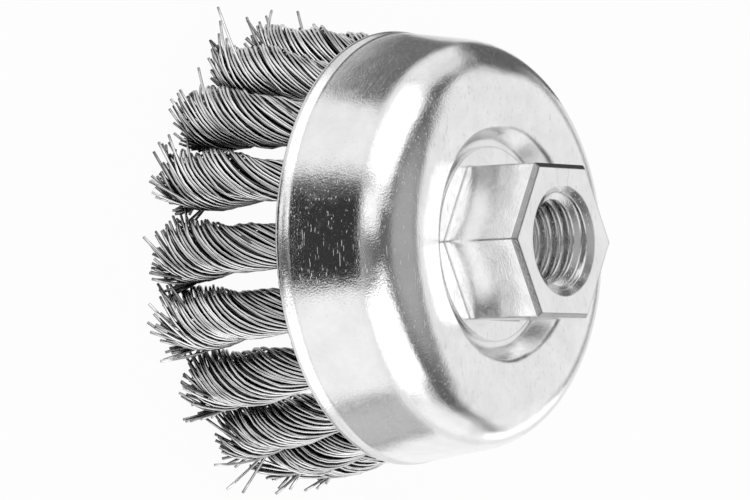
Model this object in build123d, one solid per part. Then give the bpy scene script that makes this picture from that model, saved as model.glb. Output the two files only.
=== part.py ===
from build123d import *
import math
import os

# A knotted wire cup brush for an angle grinder, standing on the tips of its wire.
# Millimetres. The origin is on the axis at the wire tips, and +Z runs up to the nut.

# Cup, with heights above its rim
rim_radius = 31.5
rim_band_height = 1.0
rim_band_rounding = 2.0
rim_edge_rounding = 0.45
rim_step = 0.3
wall_start_height = 2.0
wall_draft = 8.0
shoulder_rounding = 8.0
crown_height = 18.5
crown_slope = 9.0
cup_sheet = 1.5
dish_depth = 3.0
dish_wall_width = 2.0
dish_edge_rounding = 1.2
dish_floor_rounding = 0.9

# Hexagon nut, with its flange, neck and riveted end
across_flats = 22.0
hex_turn = -0.3
nut_height = 12.9
nut_edge_chamfer = 0.65
nut_corner_rounding = 0.5
flange_radius = 14.1
flange_thickness = 0.8
flange_edge_chamfer = 0.2
thread_radius = 7.0
countersink_radius = 8.05
countersink_depth = 0.8
neck_radius = 9.2
rivet_radius = 10.6
rivet_thickness = 1.2

# Holding plate inside the cup, stepped down from its seat to its ring
plate_sheet = 2.5
plate_step_height = 4.5
plate_seat_share = 0.24
plate_step_share = 0.46
plate_bend_rounding = 3.0
plate_edge_width = 1.8
hole_radius = 2.2

# Wire knots
knot_count = 18
first_knot_angle = -92.5
trim_length = 21.0
exit_radius = 3.3
outward_lean = 2.6
outer_leg_thickness = 1.9
fold_width = 4.6
fold_thickness = 2.8
fold_chamfer = 0.8
exit_twist_rate = 9.0
tip_twist_rate = 21.0
flare_share = 0.75
exit_groove = 0.16
fold_groove = 0.40
ridge_count = 9
ridge_depth = 0.45
section_count = 17
tip_raggedness = 1.0
tip_hollow = 0.8

# Clearances, and the slack in picking out an edge by its height
edge_tolerance = 0.01
hub_clearance = 0.05
flange_clearance = 0.9
wire_clearance = 0.15
wall_clearance = 0.3
tip_gap = 0.57

# Heights above the wire tips
rim_z = trim_length
crown_z = rim_z + crown_height
floor_z = crown_z - dish_depth
seat_z = floor_z - cup_sheet
ring_z = seat_z - plate_step_height
fold_top_z = ring_z + fold_thickness
body_top_z = ring_z - plate_sheet - wire_clearance
nut_top_z = floor_z + nut_height


def tan(angle):
    return math.tan(math.radians(angle))


def turned(points):
    """Solid turned about the axis from a section given as (radius, height) points."""
    return revolve(Plane.XZ * make_face(Polyline(*points, close=True)), axis=Axis.Z)


def edges_at(solid, z):
    """Edges of a solid that lie at a height."""
    return solid.edges().filter_by_position(Axis.Z, z - edge_tolerance, z + edge_tolerance)


def bent_sheet(points, roundings, thickness):
    """Solid turned from a bent sheet, whose upper side follows the (radius, height) points inwards."""
    line = FilletPolyline(*points, radius=roundings)
    section = make_face(offset(line, amount=thickness, side=Side.LEFT, closed=True))
    return revolve(Plane.XZ * section, axis=Axis.Z)


# Cup


dish_floor_radius = flange_radius + flange_clearance
dish_edge_radius = dish_floor_radius + dish_wall_width
wall_start_radius = rim_radius - rim_step
wall_start_z = rim_z + wall_start_height


def inner_wall_radius(z):
    """Inner radius of the drafted wall at a height."""
    outer_radius = wall_start_radius - (z - wall_start_z) * tan(wall_draft)
    return outer_radius - cup_sheet / math.cos(math.radians(wall_draft))


def shoulder_corner():
    """Where the wall's line and the crown's line meet, before the shoulder is rounded."""
    draft = tan(wall_draft)
    slope = tan(crown_slope)
    rise = crown_z - wall_start_z - dish_edge_radius * slope
    radius = (wall_start_radius - rise * draft) / (1 + slope * draft)
    return radius, crown_z + (radius - dish_edge_radius) * slope


def shoulder_room():
    """Largest rounding of the shoulder for which the crown keeps room for the dish's edge."""
    crown_length = (shoulder_corner()[0] - dish_edge_radius) / math.cos(math.radians(crown_slope))
    half_turn = (90 - wall_draft + crown_slope) / 2
    return (crown_length - dish_edge_rounding) / tan(half_turn)


def make_cup():
    points = [
        (rim_radius, rim_z),
        (rim_radius, rim_z + rim_band_height),
        (wall_start_radius, wall_start_z),
        shoulder_corner(),
        (dish_edge_radius, crown_z),
        (dish_floor_radius, floor_z),
        (neck_radius + hub_clearance, floor_z),
    ]
    roundings = [
        rim_band_rounding,
        rim_band_rounding,
        min(shoulder_rounding, shoulder_room()),
        dish_edge_rounding,
        dish_floor_rounding,
    ]
    cup = bent_sheet(points, roundings, cup_sheet)
    return fillet(edges_at(cup, rim_z), rim_edge_rounding)


# Nut


def hexagon():
    """Hexagonal head with rounded corners and a chamfered top edge."""
    turn = first_knot_angle + hex_turn
    outline = RegularPolygon(across_flats / 2, 6, major_radius=False, rotation=turn)
    head = extrude(Plane.XY.offset(floor_z) * outline, nut_height)
    head = chamfer(edges_at(head, nut_top_z), nut_edge_chamfer)
    return fillet(head.edges().filter_by(Axis.Z), nut_corner_rounding)


def flange():
    """Flat round flange under the hexagon."""
    top_z = floor_z + flange_thickness
    return turned([
        (0, floor_z),
        (flange_radius, floor_z),
        (flange_radius, top_z - flange_edge_chamfer),
        (flange_radius - flange_edge_chamfer, top_z),
        (0, top_z),
    ])


def neck():
    """Neck through the cup and the plate, with its end riveted over the plate."""
    plate_under_z = seat_z - plate_sheet
    rivet_z = plate_under_z - rivet_thickness
    return turned([
        (0, rivet_z),
        (rivet_radius - rivet_thickness / 2, rivet_z),
        (rivet_radius, rivet_z + rivet_thickness / 2),
        (rivet_radius, plate_under_z),
        (neck_radius, plate_under_z),
        (neck_radius, floor_z + flange_thickness / 2),
        (0, floor_z + flange_thickness / 2),
    ])


def bore():
    """Threaded bore at its major radius, widened by the countersink."""
    bottom_z = seat_z - plate_sheet - rivet_thickness
    return turned([
        (0, bottom_z),
        (thread_radius, bottom_z),
        (thread_radius, nut_top_z - countersink_depth),
        (countersink_radius, nut_top_z),
        (0, nut_top_z),
    ])


def make_nut():
    return hexagon() + flange() + neck() - bore()


# Holding plate, whose edge leaves room in the cup for one leg of each fold


fold_outer_radius = inner_wall_radius(fold_top_z) - wall_clearance
plate_radius = fold_outer_radius - outer_leg_thickness - wire_clearance
hole_circle_radius = plate_radius - plate_edge_width - hole_radius


leg_radius = hole_radius - wire_clearance
fold_inner_radius = hole_circle_radius - leg_radius
plate_slope_room = fold_inner_radius - rivet_radius
plate_seat_radius = rivet_radius + plate_seat_share * plate_slope_room
plate_step_radius = plate_seat_radius + plate_step_share * plate_slope_room


def plate_bend_room():
    """Largest rounding of the plate's bends that leaves its ring flat under the folds."""
    half_turn = math.atan2(plate_step_height, plate_step_radius - plate_seat_radius) / 2
    return (fold_inner_radius - plate_step_radius) / math.tan(half_turn)


def knot_angles():
    return [first_knot_angle + 360 / knot_count * number for number in range(knot_count)]


def make_plate():
    points = [
        (plate_radius, ring_z),
        (plate_step_radius, ring_z),
        (plate_seat_radius, seat_z),
        (neck_radius + hub_clearance, seat_z),
    ]
    bend_rounding = min(plate_bend_rounding, plate_bend_room())
    plate = bent_sheet(points, [bend_rounding, bend_rounding], plate_sheet)
    for angle in knot_angles():
        place = Rot(0, 0, angle) * Pos(hole_circle_radius, 0, ring_z - plate_sheet / 2)
        plate -= place * Cylinder(hole_radius, 2 * plate_sheet)
    return plate


# Wire knots, each drawn with its centre over +X


fold_circle_radius = (fold_inner_radius + fold_outer_radius) / 2
exit_circle_radius = rim_radius - cup_sheet - wall_clearance - exit_radius
tip_circle_radius = exit_circle_radius + outward_lean
tip_radius = tip_circle_radius * math.sin(math.pi / knot_count) - tip_gap / 2
exit_drop = body_top_z - rim_z
full_drop = body_top_z


def blend(start, end, share):
    """Value that goes smoothly from start to end as share goes from 0 to 1."""
    share = min(max(share, 0.0), 1.0)
    return start + (end - start) * share * share * (3 - 2 * share)


def centre_radius(drop):
    """Circle on which the knot's centre lies, a curve through its fold, exit and tip."""
    to_exit = (exit_circle_radius - fold_circle_radius) / exit_drop
    to_tip = (tip_circle_radius - fold_circle_radius) / full_drop
    bend = (to_tip - to_exit) / (full_drop - exit_drop)
    return fold_circle_radius + to_exit * drop + bend * drop * (drop - exit_drop)


def body_radius(drop):
    """Reach of the two strands from the knot's centre: drawn in to the exit, then flared."""
    fold_reach = (fold_outer_radius - fold_inner_radius) / 2
    if drop < exit_drop:
        return blend(fold_reach, exit_radius, drop / exit_drop)
    return blend(exit_radius, tip_radius, (drop - exit_drop) / (flare_share * trim_length))


def groove_depth(drop):
    return blend(fold_groove, exit_groove, drop / exit_drop)


def turn_at(drop):
    """Twist in degrees down to a drop: steady to the exit, then ever faster."""
    below = max(drop - exit_drop, 0.0)
    gain = (tip_twist_rate - exit_twist_rate) / trim_length
    return exit_twist_rate * drop + gain * below * below / 2


def drop_at(turn):
    """Drop at which the twist has reached a number of degrees."""
    below = turn - exit_twist_rate * exit_drop
    if below <= 0:
        return turn / exit_twist_rate
    gain = (tip_twist_rate - exit_twist_rate) / trim_length
    return exit_drop + (math.sqrt(exit_twist_rate**2 + 2 * gain * below) - exit_twist_rate) / gain


def knot_section(drop):
    """Corners of the section at a drop: two strands with a groove between them, ridged by their wire."""
    corners = []
    for number in range(2 * ridge_count):
        around = math.pi * number / ridge_count
        valley = ridge_depth * (number % 2)
        reach = body_radius(drop) * (1 - groove_depth(drop) * math.sin(around) ** 4) - valley
        direction = around - math.radians(turn_at(drop))
        x = centre_radius(drop) + reach * math.cos(direction)
        corners.append(Vector(x, reach * math.sin(direction), body_top_z - drop))
    return corners


def ragged(corners):
    """The last section, with each ridge of wire ending at a height of its own."""
    steps = 4
    rises = [tip_raggedness * (number * 3 % (steps + 1)) / steps for number in range(len(corners))]
    return [corner + Vector(0, 0, rise) for corner, rise in zip(corners, rises)]


def triangle(*corners):
    return Face(Wire.make_polygon(corners))


def knot_body():
    """Twisted and flared body, ridged along the lay of its wire."""
    full_turn = turn_at(full_drop)
    drops = [drop_at(full_turn * level / (section_count - 1)) for level in range(section_count)]
    sections = [knot_section(drop) for drop in drops]
    sections[-1] = ragged(sections[-1])
    tip_middle = Vector(centre_radius(full_drop), 0, tip_hollow)
    faces = [Face(Wire.make_polygon(sections[0]))]
    for number in range(2 * ridge_count):
        after = (number + 1) % (2 * ridge_count)
        for upper, lower in zip(sections, sections[1:]):
            faces.append(triangle(upper[number], upper[after], lower[after]))
            faces.append(triangle(upper[number], lower[after], lower[number]))
        faces.append(triangle(sections[-1][number], sections[-1][after], tip_middle))
    return Solid(Shell(faces))


def knot_fold():
    """Fold of the wire over the plate: one leg through its hole, the other round its edge."""
    foot_z = body_top_z - fold_thickness / 2
    slot_outer = plate_radius + wire_clearance
    outline = Polyline(
        (hole_circle_radius, ring_z),
        (slot_outer, ring_z),
        (slot_outer, foot_z),
        (fold_outer_radius, foot_z),
        (fold_outer_radius, fold_top_z - fold_chamfer),
        (fold_outer_radius - fold_chamfer, fold_top_z),
        (fold_inner_radius + fold_chamfer, fold_top_z),
        (fold_inner_radius, fold_top_z - fold_chamfer),
        (fold_inner_radius, ring_z),
        close=True,
    )
    strap = extrude(Plane.XZ * make_face(outline), fold_width / 2, both=True)
    leg = Pos(hole_circle_radius, 0, (foot_z + ring_z + fold_chamfer) / 2)
    return strap + leg * Cylinder(leg_radius, ring_z + fold_chamfer - foot_z)


def make_knots():
    knot = knot_body() + knot_fold()
    return [Rot(0, 0, angle) * knot for angle in knot_angles()]


# Files, one for each piece


def save(name, solid):
    export_step(solid, f"parts/{name}.step")


os.makedirs("parts", exist_ok=True)
save("cup", make_cup())
save("hub_nut", make_nut())
save("holding_plate", make_plate())
for number, knot in enumerate(make_knots(), start=1):
    save(f"knot_{number:02d}", knot)
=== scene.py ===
import math

import bmesh
import bpy
import numpy as np
from mathutils import Matrix, Vector


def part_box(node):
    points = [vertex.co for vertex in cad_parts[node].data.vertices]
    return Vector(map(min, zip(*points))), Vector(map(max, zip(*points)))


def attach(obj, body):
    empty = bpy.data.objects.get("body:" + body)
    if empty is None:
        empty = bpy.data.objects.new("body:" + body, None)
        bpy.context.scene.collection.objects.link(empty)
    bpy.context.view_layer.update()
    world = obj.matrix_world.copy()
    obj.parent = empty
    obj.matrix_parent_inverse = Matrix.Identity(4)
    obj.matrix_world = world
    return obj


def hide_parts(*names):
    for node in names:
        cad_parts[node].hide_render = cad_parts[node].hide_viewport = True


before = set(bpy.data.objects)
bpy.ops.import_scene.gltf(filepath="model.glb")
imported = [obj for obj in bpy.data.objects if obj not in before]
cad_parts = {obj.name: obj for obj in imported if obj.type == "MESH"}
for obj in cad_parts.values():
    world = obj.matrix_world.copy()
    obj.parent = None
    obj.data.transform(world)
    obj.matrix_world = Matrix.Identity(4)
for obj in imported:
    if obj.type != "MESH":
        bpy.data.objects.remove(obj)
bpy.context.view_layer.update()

# A knotted wire cup brush standing on the tips of its wire.
# Lengths are in metres, and MM is one millimetre.
MM = 0.001
BODY = "root"

# Camera: the photograph is turned so that the brush's axis lies across the picture
PICTURE_WIDTH = 750
CAMERA_DISTANCE = 1000 * MM
CAMERA_ELEVATION = math.radians(34.66)
CAMERA_ROLL = math.radians(2.67)
CAMERA_TARGET = Vector((0.257, 0, 16.63)) * MM
TARGET_PIXEL_OFFSET = (0.67, 1.10)
FOCAL_PIXELS = 6869
SENSOR_WIDTH = 36

# Wire knots, with their line, reach and twist as in the solids that they stand for
KNOT_COUNT = 18
FIRST_KNOT_ANGLE = math.radians(-92.5)
BODY_TOP = 27.85 * MM
EXIT_DROP = 6.85 * MM
TRIM_LENGTH = BODY_TOP - EXIT_DROP
FOLD_CIRCLE = 23.89 * MM
EXIT_CIRCLE = 26.4 * MM
TIP_CIRCLE = 29.0 * MM
FOLD_REACH = 4.05 * MM
EXIT_REACH = 3.15 * MM
TIP_REACH = 4.75 * MM
FLARE_LENGTH = 15.75 * MM
EXIT_TWIST = math.radians(9.0) / MM
TIP_TWIST = math.radians(21.0) / MM
FOLD_GROOVE = 0.40
EXIT_GROOVE = 0.18

# Legs of each knot, through the plate's hole and round its edge
HOLE_CIRCLE = 21.89 * MM
LEG_REACH = 1.8 * MM
SLOT_INNER = 26.29 * MM
SLOT_WIDTH = 1.4 * MM
SLOT_REACH = 2.05 * MM
PLATE_TOP = 30.5 * MM
FOLD_DEPTH = 2.3 * MM
FOLD_BEND = 0.5 * MM
LEG_BLEND = 4.0 * MM

# Stations of a wire over the plate: share of the way across, and how far it dips there
FOLD_STATIONS = ((0, FOLD_BEND), (0.15, 0), (0.5, -0.1 * MM), (0.85, 0), (1, FOLD_BEND))

# Wire, packed in rings given as a share of the reach and a number of folded wires
WIRE_RADIUS = 0.21 * MM
RINGS = ((0.98, 15), (0.82, 13), (0.64, 10), (0.45, 7), (0.25, 3))
WIRE_SIDES = 6

# Each path is sampled finely, then thinned out to stations that lie closer toward its tip
FINE_SAMPLES = 160
WIRE_STATIONS = 24
STATION_SPREAD = 0.85

# Height of the cut ends above the floor
SHORTEST_CUT = 0.2 * MM
LONGEST_CUT = 2.0 * MM

# How far the knots differ from one another: least and most, with the phase in degrees
FIRST_SEED = 100
KNOT_TWIST = (0.94, 1.06)
KNOT_PHASE = (-45, 45)
KNOT_REACH = (0.97, 1.03)
KNOT_LEAN_MM = (-0.5, 0.5)

# How far the wires of a knot differ: scatter and slow waves in angle and reach
ANGLE_SCATTER = 0.03
ANGLE_WAVE = 0.045
ANGLE_PERIOD = (8 * MM, 20 * MM)
REACH_WAVE = 0.03
REACH_PERIOD = (8 * MM, 22 * MM)

# A few wires bulge out of their knot, clear of its exit and of its tip
BULGE_SHARE = 0.08
BULGE_HEIGHT_MM = (0.3, 0.8)
BULGE_LENGTH = 1.3 * MM
BULGE_BELOW_EXIT = 2 * MM
BULGE_ABOVE_TIP = 8 * MM

# Loose ends: their length, and how they run out of the twist
LOOSE_LENGTH_MM = (1.5, 5.2)
STRAY_SHARE = 0.1
STRAY_EXTRA_MM = (0.5, 2.4)
LOOSE_SPEED = (0.9, 1.35)
LOOSE_DECAY_MM = (0.8, 3.0)

# Tone of the wires, with painted shade: wire deep in a knot is darker, by this power of its share
# of the reach, and less so toward the open tips
WIRE_TONE = (0.75, 1.0)
INNER_SHADE_POWER = 3.2
TIP_SHADE_POWER = 1.2
OPEN_HEIGHT = 7 * MM

# Thread in the nut's bore
THREAD_PITCH = 2.0 * MM
THREAD_ROOT = 6.97 * MM
THREAD_CREST = 5.92 * MM
BORE_RADIUS = 7.0 * MM
COUNTERSINK_RADIUS = 8.05 * MM
COUNTERSINK_DEPTH = 0.8 * MM
THREAD_STEPS = 96
MERGE_DISTANCE = 0.001 * MM

# One turn's profile, as (height in mm, radius)
THREAD_PROFILE = (
    (0, THREAD_ROOT),
    (0.25, THREAD_ROOT),
    (0.875, THREAD_CREST),
    (1.375, THREAD_CREST),
)

# Heights on the cup between which its finish changes
RIM_FLARE = (21.2 * MM, 23.6 * MM)
RIM_DULL = (22.6 * MM, 23.8 * MM)
ROUNDING_CHANGE = (30 * MM, 34 * MM)
DRAWN_END = (38.2 * MM, 38.6 * MM)

# The rim's own slope, and the share of its colour that it keeps
RIM_FLARE_RISE = 0.6 * MM
RIM_COLOUR_SHARE = 0.88

# Chamfers round the nut's top, with a painted dark reflection: where they lie, how far they lean,
# and the colour they keep
CHAMFER_INSIDE = 9.5 * MM
CHAMFER_BOTTOM = 48.7 * MM
CHAMFER_LEAN = 0.9
CHAMFER_DARK_REFLECTION_SHARE = 0.35

# Studio: the floor's half side and how much of its white is seen, lamps and cards
FLOOR_HALF = 1.5
FLOOR_SEEN = 0.96
FLOOR_MIRRORED = 0.66
LIGHT_TARGET = Vector((0, 0, 25 * MM))
CARD_STEPS = 12
CARD_LIFT_MM = 0.5

# Room, as (upward share of the direction, grey)
WORLD_STOPS = ((0.1, 0.3), (0.45, 0.13), (0.8, 0.14), (0.94, 0.42))


# Knots of wire


def blend(start, end, share):
    """Value that goes smoothly from start to end as share goes from 0 to 1."""
    share = np.clip(share, 0.0, 1.0)
    return start + (end - start) * share * share * (3 - 2 * share)


def centre_radius(drop):
    """Circle on which a knot's centre lies, through its fold, exit and tip."""
    to_exit = (EXIT_CIRCLE - FOLD_CIRCLE) / EXIT_DROP
    to_tip = (TIP_CIRCLE - FOLD_CIRCLE) / BODY_TOP
    bend = (to_tip - to_exit) / (BODY_TOP - EXIT_DROP)
    return FOLD_CIRCLE + to_exit * drop + bend * drop * (drop - EXIT_DROP)


def body_reach(drop):
    """Reach of the two strands from the knot's centre: drawn in to the exit, then flared."""
    drawn = blend(FOLD_REACH, EXIT_REACH, drop / EXIT_DROP)
    flared = blend(EXIT_REACH, TIP_REACH, (drop - EXIT_DROP) / FLARE_LENGTH)
    return np.where(drop < EXIT_DROP, drawn, flared)


def turn_at(drop):
    """Twist down to a drop: steady to the exit, then ever faster."""
    below = np.maximum(drop - EXIT_DROP, 0.0)
    gain = (TIP_TWIST - EXIT_TWIST) / TRIM_LENGTH
    return EXIT_TWIST * drop + gain * below * below / 2


def fold_places(share, around):
    """Each folded wire's (outward, sideways) place in its two legs, and its height when folded."""
    depth = share * np.cos(around)
    across = share * np.sin(around) / np.sqrt(1 - depth * depth)
    disc = 2 * depth - 1
    inner = (HOLE_CIRCLE - disc * LEG_REACH, across * np.sqrt(1 - disc * disc) * LEG_REACH)
    outer = (SLOT_INNER + depth * SLOT_WIDTH, across * SLOT_REACH)
    height = PLATE_TOP + WIRE_RADIUS + depth * FOLD_DEPTH
    return outer, inner, height


def fold_path(outer, inner, height):
    """Points of each wire over the plate, from its outer leg to its inner leg."""
    points = []
    for along, sink in FOLD_STATIONS:
        x = outer[0] + (inner[0] - outer[0]) * along
        y = outer[1] + (inner[1] - outer[1]) * along
        points.append(np.stack([x, y, height - sink], axis=-1))
    return np.stack(points, axis=1)


def waves(random, drop, low, high):
    """A slow wave along each wire, with a period between low and high."""
    count = len(drop)
    period = random.uniform(low, high, (count, 1))
    phase = random.uniform(0, 2 * math.pi, (count, 1))
    return np.sin(2 * math.pi * drop / period + phase)


def lay_wires(random, share, around, leg, knot):
    """Paths of one leg's wires from the plate to their cut ends."""
    count = len(share)
    end = BODY_TOP - random.uniform(SHORTEST_CUT, LONGEST_CUT, count)
    drop = np.linspace(0, 1, FINE_SAMPLES)[None, :] * end[:, None]
    angle = (around + random.normal(0, ANGLE_SCATTER, count))[:, None]
    angle = angle + ANGLE_WAVE * waves(random, drop, *ANGLE_PERIOD)
    reach = (body_reach(drop) * knot["reach"] - WIRE_RADIUS) * share[:, None]
    reach = reach * (1 + REACH_WAVE * waves(random, drop, *REACH_PERIOD))
    reach = reach * (1 - blend(FOLD_GROOVE, EXIT_GROOVE, drop / EXIT_DROP) * np.sin(angle) ** 4)
    bulges = random.uniform(0, 1, count) < BULGE_SHARE
    bulge_at = random.uniform(EXIT_DROP + BULGE_BELOW_EXIT, BODY_TOP - BULGE_ABOVE_TIP, count)
    bulge = np.where(bulges, random.uniform(*BULGE_HEIGHT_MM, count), 0) * MM
    reach = reach + bulge[:, None] * np.exp(-(((drop - bulge_at[:, None]) / BULGE_LENGTH) ** 2))
    turned = knot["phase"] * blend(0.0, 1.0, drop / EXIT_DROP)
    direction = angle - turn_at(drop) * knot["twist"] + turned
    bend = (drop / BODY_TOP) ** 2
    x = centre_radius(drop) + knot["lean"][0] * bend + reach * np.cos(direction)
    y = knot["lean"][1] * bend + reach * np.sin(direction)
    into = blend(0.0, 1.0, drop / LEG_BLEND)
    x = leg[0][:, None] * (1 - into) + x * into
    y = leg[1][:, None] * (1 - into) + y * into
    return release_wires(random, drop, x, y, end)


def release_wires(random, drop, x, y, end):
    """Let each wire run out of the twist near its end, and thin its path out to its stations."""
    count = len(end)
    rows = np.arange(count)
    free_length = random.uniform(*LOOSE_LENGTH_MM, count) * MM
    stray = random.uniform(0, 1, count) < STRAY_SHARE
    free_length = free_length + np.where(stray, random.uniform(*STRAY_EXTRA_MM, count), 0) * MM
    first = np.argmax(drop > (end - free_length)[:, None], axis=1)
    spacing = end / (FINE_SAMPLES - 1)
    slope_x = np.gradient(x, axis=1) / spacing[:, None]
    slope_y = np.gradient(y, axis=1) / spacing[:, None]
    heading = np.arctan2(slope_y, slope_x)[rows, first][:, None]
    speed = np.hypot(slope_x, slope_y)[rows, first][:, None]
    speed = speed * random.uniform(*LOOSE_SPEED, count)[:, None]
    past = np.maximum(drop - drop[rows, first][:, None], 0)
    decay = random.uniform(*LOOSE_DECAY_MM, count)[:, None] * MM
    heading = heading - TIP_TWIST * decay * (1 - np.exp(-past / decay))
    free = past > 0
    run_x = np.cumsum(np.where(free, speed * np.cos(heading), 0) * spacing[:, None], axis=1)
    run_y = np.cumsum(np.where(free, speed * np.sin(heading), 0) * spacing[:, None], axis=1)
    x = np.where(free, x[rows, first][:, None] + run_x, x)
    y = np.where(free, y[rows, first][:, None] + run_y, y)
    path = np.stack([x, y, BODY_TOP - drop], axis=-1)
    place = np.linspace(0, 1, WIRE_STATIONS) ** STATION_SPREAD * (FINE_SAMPLES - 1)
    low = np.clip(place.astype(int), 0, FINE_SAMPLES - 2)
    part = (place - low)[None, :, None]
    return path[:, low] * (1 - part) + path[:, low + 1] * part


def make_wires(random):
    """Paths of a knot's folded wires, drawn with its centre over +X, and the tone along each, with
    painted shade deep in the knot.
    """
    share = np.concatenate([np.full(count, ring) for ring, count in RINGS])
    half_turns = [(np.arange(count) + 0.5) / count - 0.5 for _, count in RINGS]
    around = np.concatenate(half_turns) * math.pi
    knot = {
        "twist": random.uniform(*KNOT_TWIST),
        "phase": math.radians(random.uniform(*KNOT_PHASE)),
        "reach": random.uniform(*KNOT_REACH),
        "lean": random.uniform(*KNOT_LEAN_MM, 2) * MM,
    }
    outer, inner, height = fold_places(share, around)
    outer_wires = lay_wires(random, share, around, outer, knot)
    inner_wires = lay_wires(random, share, math.pi - around, inner, knot)
    fold = fold_path(outer, inner, height)
    paths = np.concatenate([outer_wires[:, ::-1], fold, inner_wires], axis=1)
    # Painted shade: wire deeper in the knot is darker, less so toward the open tips
    shade_power = blend(TIP_SHADE_POWER, INNER_SHADE_POWER, paths[..., 2] / OPEN_HEIGHT)
    tone_and_shade = random.uniform(*WIRE_TONE, (len(share), 1)) * share[:, None] ** shade_power
    return paths, tone_and_shade


def wire_mesh(name, paths, tone_and_shade):
    """Mesh of round wires along the paths, with flat ends."""
    wires, stations = paths.shape[:2]
    tangent = np.gradient(paths, axis=1)
    tangent /= np.linalg.norm(tangent, axis=-1, keepdims=True)
    side = np.array([0.0, 1.0, 0.0])
    first = side - tangent * (tangent @ side)[..., None]
    first /= np.linalg.norm(first, axis=-1, keepdims=True)
    second = np.cross(tangent, first)
    corner = (2 * np.pi * np.arange(WIRE_SIDES) / WIRE_SIDES)[:, None]
    ring = first[:, :, None] * np.cos(corner) + second[:, :, None] * np.sin(corner)
    points = (paths[:, :, None] + WIRE_RADIUS * ring).reshape(-1, 3)
    wire_start = np.arange(wires) * stations * WIRE_SIDES
    here = np.arange(WIRE_SIDES)
    after = (here + 1) % WIRE_SIDES
    base = wire_start[:, None, None] + (np.arange(stations - 1) * WIRE_SIDES)[None, :, None]
    sides = [base + here, base + after, base + WIRE_SIDES + after, base + WIRE_SIDES + here]
    quads = np.stack(sides, axis=-1).reshape(-1, 4)
    last = wire_start + (stations - 1) * WIRE_SIDES
    caps = np.concatenate([wire_start[:, None] + here[::-1], last[:, None] + here])
    mesh = bpy.data.meshes.new(name)
    mesh.from_pydata(points.tolist(), [], quads.tolist() + caps.tolist())
    smooth = np.zeros(len(quads) + len(caps), bool)
    smooth[: len(quads)] = True
    mesh.polygons.foreach_set("use_smooth", smooth)
    # Random tone of each wire, times its painted shade
    attribute = mesh.attributes.new("tone_and_shade", "FLOAT", "POINT")
    attribute.data.foreach_set("value", np.repeat(tone_and_shade.reshape(-1), WIRE_SIDES))
    mesh.update()
    return mesh


def make_knots(material):
    """Wires of every knot, each standing for its solid."""
    for number in range(KNOT_COUNT):
        node = f"knot_{number + 1:02d}"
        random = np.random.default_rng(FIRST_SEED + number)
        paths, tone_and_shade = make_wires(random)
        mesh = wire_mesh(node + "_wires", paths, tone_and_shade)
        angle = FIRST_KNOT_ANGLE + 2 * math.pi * number / KNOT_COUNT
        mesh.transform(Matrix.Rotation(angle, 4, "Z"))
        knot = add_piece(node + "_wires", mesh, material)
        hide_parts(node)


def add_piece(name, mesh, material):
    """Visible piece of the brush."""
    mesh.materials.append(material)
    piece = bpy.data.objects.new(name, mesh)
    bpy.context.scene.collection.objects.link(piece)
    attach(piece, BODY)
    return piece


# Thread in the bore


def make_thread(material):
    """Right-hand thread from the nut's riveted end to its countersink."""
    low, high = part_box("hub_nut")
    cone_bottom = high.z - COUNTERSINK_DEPTH
    cone_slope = (COUNTERSINK_RADIUS - BORE_RADIUS) / COUNTERSINK_DEPTH
    turns = math.ceil((cone_bottom - low.z) / THREAD_PITCH) + 2
    points = []
    for step in range(turns * THREAD_STEPS + 1):
        angle = 2 * math.pi * step / THREAD_STEPS
        for offset, radius in THREAD_PROFILE:
            z = low.z + THREAD_PITCH * (step / THREAD_STEPS - 1) + offset * MM
            z = min(max(z, low.z), cone_bottom)
            if z in (low.z, cone_bottom):
                radius = BORE_RADIUS
            radius = max(radius, COUNTERSINK_RADIUS - (high.z - z) * cone_slope)
            points.append((radius * math.cos(angle), radius * math.sin(angle), z))
    faces = []
    rows = len(THREAD_PROFILE)
    turn = THREAD_STEPS * rows
    for step in range((turns - 1) * THREAD_STEPS):
        here = step * rows
        strip = [here, here + 1, here + 2, here + 3, here + turn]
        for first, second in zip(strip, strip[1:]):
            faces.append((first, first + rows, second + rows, second))
    mesh = bpy.data.meshes.new("bore_thread")
    mesh.from_pydata(points, [], faces)
    work = bmesh.new()
    work.from_mesh(mesh)
    bmesh.ops.remove_doubles(work, verts=work.verts, dist=MERGE_DISTANCE)
    bmesh.ops.dissolve_degenerate(work, edges=work.edges, dist=MERGE_DISTANCE)
    loose = [vert for vert in work.verts if not vert.link_faces]
    bmesh.ops.delete(work, geom=loose, context="VERTS")
    work.to_mesh(mesh)
    work.free()
    add_piece("bore_thread", mesh, material)


# Materials


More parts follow.
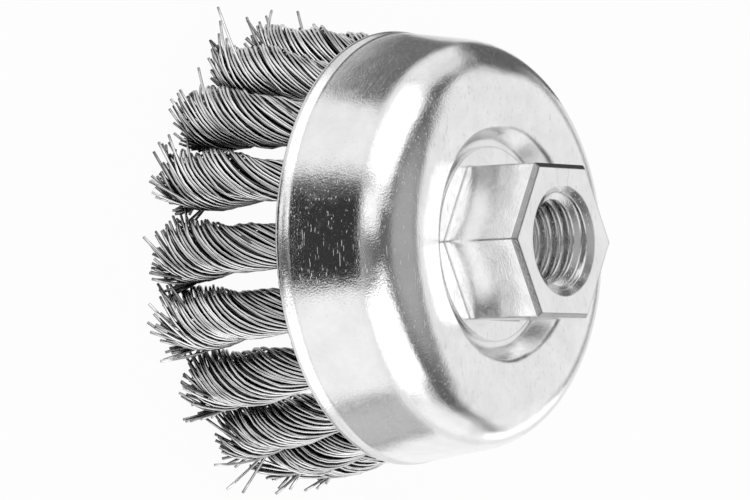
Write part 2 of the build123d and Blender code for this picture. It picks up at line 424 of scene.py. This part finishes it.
class Nodes:
    """A material's node tree, with a short way to add and link nodes."""

    def __init__(self, name):
        self.material = bpy.data.materials.new(name)
        self.material.use_nodes = True
        self.tree = self.material.node_tree
        self.shader = self.tree.nodes["Principled BSDF"]

    def add(self, kind, inputs=None, **settings):
        node = self.tree.nodes.new("ShaderNode" + kind)
        for key, value in settings.items():
            setattr(node, key, value)
        for key, value in (inputs or {}).items():
            if isinstance(value, bpy.types.NodeSocket):
                self.tree.links.new(value, node.inputs[key])
            else:
                node.inputs[key].default_value = value
        return node

    def math(self, operation, *values):
        return self.add("Math", dict(enumerate(values)), operation=operation).outputs[0]

    def noise(self, size, detail, roughness, vector):
        inputs = {"Vector": vector, "Scale": 1 / size, "Detail": detail, "Roughness": roughness}
        return self.add("TexNoise", inputs).outputs["Fac"]

    def ramp(self, value, *stops):
        node = self.add("ValToRGB", {"Fac": value})
        elements = node.color_ramp.elements
        while len(elements) < len(stops):
            elements.new(0.5)
        for element, (position, grey) in zip(elements, stops):
            element.position = position
            element.color = (grey, grey, grey, 1)
        return node.outputs["Color"]

    def span(self, value, low, high, start, end, course="LINEAR"):
        inputs = {"Value": value, "From Min": low, "From Max": high, "To Min": start, "To Max": end}
        return self.add("MapRange", inputs, interpolation_type=course).outputs["Result"]

    def bump(self, height, distance, normal=None):
        inputs = {"Height": height, "Distance": distance}
        if normal:
            inputs["Normal"] = normal
        return self.add("Bump", inputs).outputs["Normal"]

    def set(self, **inputs):
        for key, value in inputs.items():
            socket = self.shader.inputs[key.replace("_", " ").title()]
            if isinstance(value, bpy.types.NodeSocket):
                self.tree.links.new(value, socket)
            else:
                socket.default_value = value


def place_vector(nodes):
    return nodes.add("TexCoord").outputs["Object"]


def axis_distance(nodes, axes):
    """Distance from the brush's axis."""
    x_square = nodes.math("MULTIPLY", axes[0], axes[0])
    y_square = nodes.math("MULTIPLY", axes[1], axes[1])
    return nodes.math("SQRT", nodes.math("ADD", x_square, y_square))


def wire_material():
    """Bare drawn wire, with painted shade: darker deep in its knot, between wires, and between
    knots.
    """
    nodes = Nodes("steel_wire")
    place = place_vector(nodes)
    tone_and_shade = nodes.add("Attribute", attribute_name="tone_and_shade").outputs["Fac"]
    # Painted shade from ambient occlusion: darker in the crevices between wires and in the gaps
    # between knots
    crevice_shade = nodes.add("AmbientOcclusion", {"Distance": 1.2 * MM}, samples=6).outputs["AO"]
    tone_and_shade = nodes.math("MULTIPLY", tone_and_shade, nodes.ramp(crevice_shade, (0.15, 0.3), (0.6, 1.0)))
    between_knots_shade = nodes.add("AmbientOcclusion", {"Distance": 7 * MM}, samples=8).outputs["AO"]
    tone_and_shade = nodes.math("MULTIPLY", tone_and_shade, nodes.ramp(between_knots_shade, (0.2, 0.35), (0.55, 1.0)))
    stain = nodes.noise(6 * MM, 3.0, 0.6, place)
    value = nodes.math("ADD", tone_and_shade, nodes.math("MULTIPLY", nodes.math("SUBTRACT", stain, 0.5), 0.3))
    colour = nodes.ramp(value, (0.0, 0.025), (0.5, 0.15), (0.75, 0.6), (0.95, 0.9))
    nodes.set(metallic=1.0, base_color=colour)
    grain = nodes.noise(0.5 * MM, 2.0, 0.5, place)
    nodes.set(roughness=nodes.math("MULTIPLY_ADD", grain, 0.12, 0.08))
    return nodes.material


def cylinder_vector(nodes, place):
    """Place on the cup as (radius, height), so that a texture runs round the axis."""
    axes = nodes.add("SeparateXYZ", {"Vector": place}).outputs
    inputs = {"X": axis_distance(nodes, axes), "Z": axes[2]}
    return nodes.add("CombineXYZ", inputs).outputs["Vector"]


def scratch_mask(nodes, place, turn, length, width):
    """Fine scattered scratches, all running one way."""
    scale = (1 / length, 1 / width, 1 / width)
    turned = nodes.add("Mapping", {"Vector": place, "Rotation": turn, "Scale": scale})
    lines = nodes.noise(1.0, 1.0, 0.4, turned.outputs["Vector"])
    return nodes.ramp(lines, (0.72, 0.0), (0.77, 1.0))


def chamfer_shade(nodes, place, height):
    """Share of its colour that the nut keeps: all of it, but less on the chamfers round its top, as
    a painted dark reflection.
    """
    axes = nodes.add("SeparateXYZ", {"Vector": place}).outputs
    outside = nodes.math("GREATER_THAN", axis_distance(nodes, axes), CHAMFER_INSIDE)
    high = nodes.math("GREATER_THAN", height, CHAMFER_BOTTOM)
    normal = nodes.add("NewGeometry").outputs["True Normal"]
    upright = nodes.add("SeparateXYZ", {"Vector": normal}).outputs[2]
    leaning = nodes.math("LESS_THAN", upright, CHAMFER_LEAN)
    chamfer = nodes.math("MULTIPLY", nodes.math("MULTIPLY", outside, high), leaning)
    return nodes.span(chamfer, 0.0, 1.0, 1.0, CHAMFER_DARK_REFLECTION_SHARE)


def zinc_material(name, low_rounding, high_rounding):
    """Bright zinc plate, its edges softened more toward the crown, drawn in lines up to it."""
    nodes = Nodes(name)
    place = place_vector(nodes)
    height = nodes.add("SeparateXYZ", {"Vector": place}).outputs[2]
    rounding = nodes.span(height, *ROUNDING_CHANGE, low_rounding, high_rounding)
    cloud = nodes.ramp(nodes.noise(3 * MM, 5.0, 0.65, place), (0.5, 0.0), (0.68, 1.0))
    grain = nodes.noise(0.28 * MM, 3.0, 0.6, place)
    swell = nodes.noise(7 * MM, 2.0, 0.5, place)
    drawn = nodes.noise(0.7 * MM, 2.0, 0.5, cylinder_vector(nodes, place))
    drawn = nodes.math("MULTIPLY", drawn, nodes.span(height, *DRAWN_END, 1.0, 0.0))
    scratches = nodes.math(
        "MAXIMUM",
        scratch_mask(nodes, place, (0.4, 0.3, 0.2), 3.0 * MM, 0.16 * MM),
        scratch_mask(nodes, place, (1.2, 0.2, 1.4), 2.4 * MM, 0.14 * MM),
    )
    pits = nodes.ramp(nodes.noise(0.5 * MM, 3.0, 0.7, place), (0.73, 0.0), (0.78, 1.0))
    marks = nodes.math("MAXIMUM", scratches, pits)
    normal = nodes.add("Bevel", {"Radius": rounding}, samples=6).outputs["Normal"]
    flare = nodes.span(height, *RIM_FLARE, 1.0, 0.0, "SMOOTHSTEP")
    normal = nodes.bump(flare, RIM_FLARE_RISE, normal)
    normal = nodes.bump(swell, 0.10 * MM, normal)
    normal = nodes.bump(drawn, 0.02 * MM, normal)
    normal = nodes.bump(grain, 0.028 * MM, normal)
    normal = nodes.bump(marks, 0.01 * MM, normal)
    nodes.set(metallic=1.0, normal=normal)
    colour = nodes.ramp(nodes.noise(4 * MM, 3.0, 0.6, place), (0.3, 0.82), (0.7, 0.9))
    dulled = nodes.span(height, *RIM_DULL, RIM_COLOUR_SHARE, 1.0)
    colour = nodes.math("MULTIPLY", colour, dulled)
    # Colour, with a painted dark reflection on the nut's top chamfers
    nodes.set(base_color=nodes.math("MULTIPLY", colour, chamfer_shade(nodes, place, height)))
    rough = nodes.math("MULTIPLY_ADD", cloud, 0.16, 0.08)
    nodes.set(roughness=nodes.math("MULTIPLY_ADD", marks, 0.3, rough))
    return nodes.material


def plain_steel_material():
    """Bare pressed steel, a little cloudy."""
    nodes = Nodes("plain_steel")
    place = place_vector(nodes)
    cloud = nodes.noise(5 * MM, 4.0, 0.6, place)
    nodes.set(metallic=1.0, base_color=nodes.ramp(cloud, (0.3, 0.3), (0.7, 0.45)))
    patch = nodes.noise(1.2 * MM, 2.0, 0.5, place)
    nodes.set(roughness=nodes.math("MULTIPLY_ADD", patch, 0.2, 0.28))
    grain = nodes.noise(0.6 * MM, 2.0, 0.5, place)
    nodes.set(normal=nodes.bump(grain, 0.02 * MM))
    return nodes.material


# Camera, floor and light


def make_camera():
    """Camera at the photograph's angle and roll."""
    back = Vector((0, -math.cos(CAMERA_ELEVATION), math.sin(CAMERA_ELEVATION)))
    side = Vector((1, 0, 0))
    up = Vector((0, math.sin(CAMERA_ELEVATION), math.cos(CAMERA_ELEVATION)))
    picture_right = up * math.cos(CAMERA_ROLL) + side * math.sin(CAMERA_ROLL)
    picture_down = side * math.cos(CAMERA_ROLL) - up * math.sin(CAMERA_ROLL)
    pixel = CAMERA_DISTANCE / FOCAL_PIXELS
    offset = picture_right * TARGET_PIXEL_OFFSET[0] + picture_down * TARGET_PIXEL_OFFSET[1]
    place = CAMERA_TARGET - offset * pixel + back * CAMERA_DISTANCE
    data = bpy.data.cameras.new("camera")
    data.sensor_width = SENSOR_WIDTH
    data.lens = SENSOR_WIDTH * FOCAL_PIXELS / PICTURE_WIDTH
    camera = bpy.data.objects.new("camera", data)
    axes = Matrix((picture_right, -picture_down, back)).transposed()
    camera.matrix_world = Matrix.Translation(place) @ axes.to_4x4()
    bpy.context.scene.collection.objects.link(camera)
    bpy.context.scene.camera = camera
    bpy.context.scene.view_settings.view_transform = "Standard"


def make_floor():
    """Pale floor that looks white, and keeps a soft shadow of the brush."""
    nodes = Nodes("floor")
    nodes.set(base_color=(0.85, 0.85, 0.85, 1), roughness=0.9)
    path = nodes.add("LightPath").outputs
    mirrored = nodes.math("MULTIPLY", path["Is Glossy Ray"], FLOOR_MIRRORED)
    seen = nodes.math("MAXIMUM", path["Is Camera Ray"], mirrored)
    seen = nodes.math("MAXIMUM", seen, path["Is Transmission Ray"])
    white = nodes.add("Emission", {"Color": (1, 1, 1, 1)}).outputs[0]
    share = nodes.math("MULTIPLY", seen, FLOOR_SEEN)
    mix = nodes.add("MixShader", {0: share, 1: nodes.shader.outputs[0], 2: white}).outputs[0]
    nodes.tree.links.new(mix, nodes.tree.nodes["Material Output"].inputs["Surface"])
    corners = [(x * FLOOR_HALF, y * FLOOR_HALF, 0) for x, y in ((-1, -1), (1, -1), (1, 1), (-1, 1))]
    add_stage("floor", corners, [(0, 1, 2, 3)], nodes.material)


def add_stage(name, points, faces, material):
    """Piece of the studio."""
    mesh = bpy.data.meshes.new(name)
    mesh.from_pydata(points, [], faces)
    mesh.materials.append(material)
    thing = bpy.data.objects.new(name, mesh)
    bpy.context.scene.collection.objects.link(thing)
    return thing


def make_strip(name, pairs, grey):
    """Strip of a studio card that glows with its grey, seen only in reflections, through pairs of
    points: a painted reflection.
    """
    nodes = Nodes(name)
    emission = nodes.add("Emission", {"Color": (grey, grey, grey, 1)}).outputs[0]
    nodes.tree.links.new(emission, nodes.tree.nodes["Material Output"].inputs["Surface"])
    points = [point for pair in pairs for point in pair]
    faces = [(low, low + 1, low + 3, low + 2) for low in range(0, len(points) - 2, 2)]
    card = add_stage(name, points, faces, nodes.material)
    card.visible_camera = False
    card.visible_diffuse = False
    card.visible_shadow = False


def studio_point(azimuth, radius, height):
    """Point at an azimuth in degrees from the front, with its radius and height in mm."""
    azimuth = math.radians(azimuth)
    return (radius * MM * math.sin(azimuth), -radius * MM * math.cos(azimuth), height * MM)


def make_card(name, start, end, grey):
    """Card on the floor. Each end has an azimuth, an inner and an outer radius in mm."""
    pairs = []
    for step in range(CARD_STEPS + 1):
        share = step / CARD_STEPS
        azimuth, inner, outer = (low + (high - low) * share for low, high in zip(start, end))
        pairs.append([studio_point(azimuth, radius, CARD_LIFT_MM) for radius in (inner, outer)])
    make_strip(name, pairs, grey)


def make_flag(name, start, end, radius, height, grey):
    """Upright card between two azimuths, with its radius and height in mm."""
    pairs = []
    for step in range(CARD_STEPS + 1):
        azimuth = start + (end - start) * step / CARD_STEPS
        pairs.append([studio_point(azimuth, radius, level) for level in (CARD_LIFT_MM, height)])
    make_strip(name, pairs, grey)


def area_light(name, azimuth, elevation, distance, width, height, radiance):
    """Soft light facing the brush. Its distance, width and height are in metres."""
    azimuth = math.radians(azimuth)
    elevation = math.radians(elevation)
    level = math.cos(elevation)
    away = Vector((math.sin(azimuth) * level, -math.cos(azimuth) * level, math.sin(elevation)))
    data = bpy.data.lights.new(name, "AREA")
    data.shape = "RECTANGLE"
    data.size = width
    data.size_y = height
    data.energy = radiance * math.pi * width * height
    light = bpy.data.objects.new(name, data)
    light.location = LIGHT_TARGET + away * distance
    light.rotation_euler = (-away).to_track_quat("-Z", "Y").to_euler()
    light.visible_camera = False
    bpy.context.scene.collection.objects.link(light)


def make_world():
    """Room that is grey at the horizon, darker above it and grey again overhead."""
    world = bpy.data.worlds.new("world")
    bpy.context.scene.world = world
    world.use_nodes = True
    tree = world.node_tree
    direction = tree.nodes.new("ShaderNodeTexCoord").outputs["Generated"]
    axes = tree.nodes.new("ShaderNodeSeparateXYZ")
    tree.links.new(direction, axes.inputs[0])
    ramp = tree.nodes.new("ShaderNodeValToRGB")
    tree.links.new(axes.outputs[2], ramp.inputs["Fac"])
    while len(ramp.color_ramp.elements) < len(WORLD_STOPS):
        ramp.color_ramp.elements.new(0.5)
    for element, (position, grey) in zip(ramp.color_ramp.elements, WORLD_STOPS):
        element.position = position
        element.color = (grey, grey, grey, 1)
    tree.links.new(ramp.outputs["Color"], tree.nodes["Background"].inputs["Color"])


make_camera()
make_floor()
make_world()

# Lights: azimuth, elevation, distance, width, height and radiance
area_light("left_light", -66.5, 25, 0.9, 1.0, 0.85, 1.25)
area_light("right_light", 52.5, 25, 0.9, 1.06, 0.85, 1.35)
area_light("back_light", 180, 34, 1.0, 1.6, 0.9, 0.76)
area_light("left_side_light", -114.5, 13, 0.9, 0.57, 0.5, 0.6)
area_light("right_side_light", 108, 13, 0.9, 0.72, 0.5, 0.75)
area_light("front_light", -21, 19, 0.9, 0.32, 0.5, 1.0)

# Cards and flags glow with their grey and are seen only in reflections: painted reflections, dark
# and light.
# Cards: azimuth, inner and outer radius at both ends, and a grey.
# Flags: both azimuths, radius, height and a grey.
make_card("front_card", (-28, 75, 500), (16, 75, 500), 0.04)
make_card("front_edge_card", (-35, 75, 500), (-28, 75, 500), 0.2)
make_card("left_white_card", (-72, 55, 170), (-35, 55, 170), 0.95)
make_card("right_white_card", (16, 55, 170), (71, 55, 170), 1.0)
make_card("left_card", (-72, 83, 150), (-131, 53, 150), 0.17)
make_card("left_inner_card", (-74, 50, 82), (-131, 40, 53), 0.65)
make_card("back_left_card", (-131, 100, 430), (-164, 100, 430), 0.13)
make_flag("back_left_flag", -131, -158, 430, 215, 0.13)
make_flag("back_right_flag", 131, 163, 430, 80, 1.6)
make_card("right_line_card", (71, 55, 150), (73.5, 55, 150), 0.12)
make_card("right_card", (73.5, 50, 150), (101, 50, 150), 0.55)
make_card("right_end_card", (101, 50, 150), (104, 50, 150), 0.2)
make_card("right_far_card", (104, 50, 150), (150, 50, 150), 1.0)

# The brush
make_knots(wire_material())
nut_zinc = zinc_material("nut_zinc", 0.4 * MM, 0.4 * MM)
cup_zinc = zinc_material("cup_zinc", 0.2 * MM, 0.8 * MM)
make_thread(nut_zinc)
finishes = {"cup": cup_zinc, "hub_nut": nut_zinc, "holding_plate": plain_steel_material()}
for name, finish in finishes.items():
    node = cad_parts[name]
    node.data.materials.clear()
    node.data.materials.append(finish)
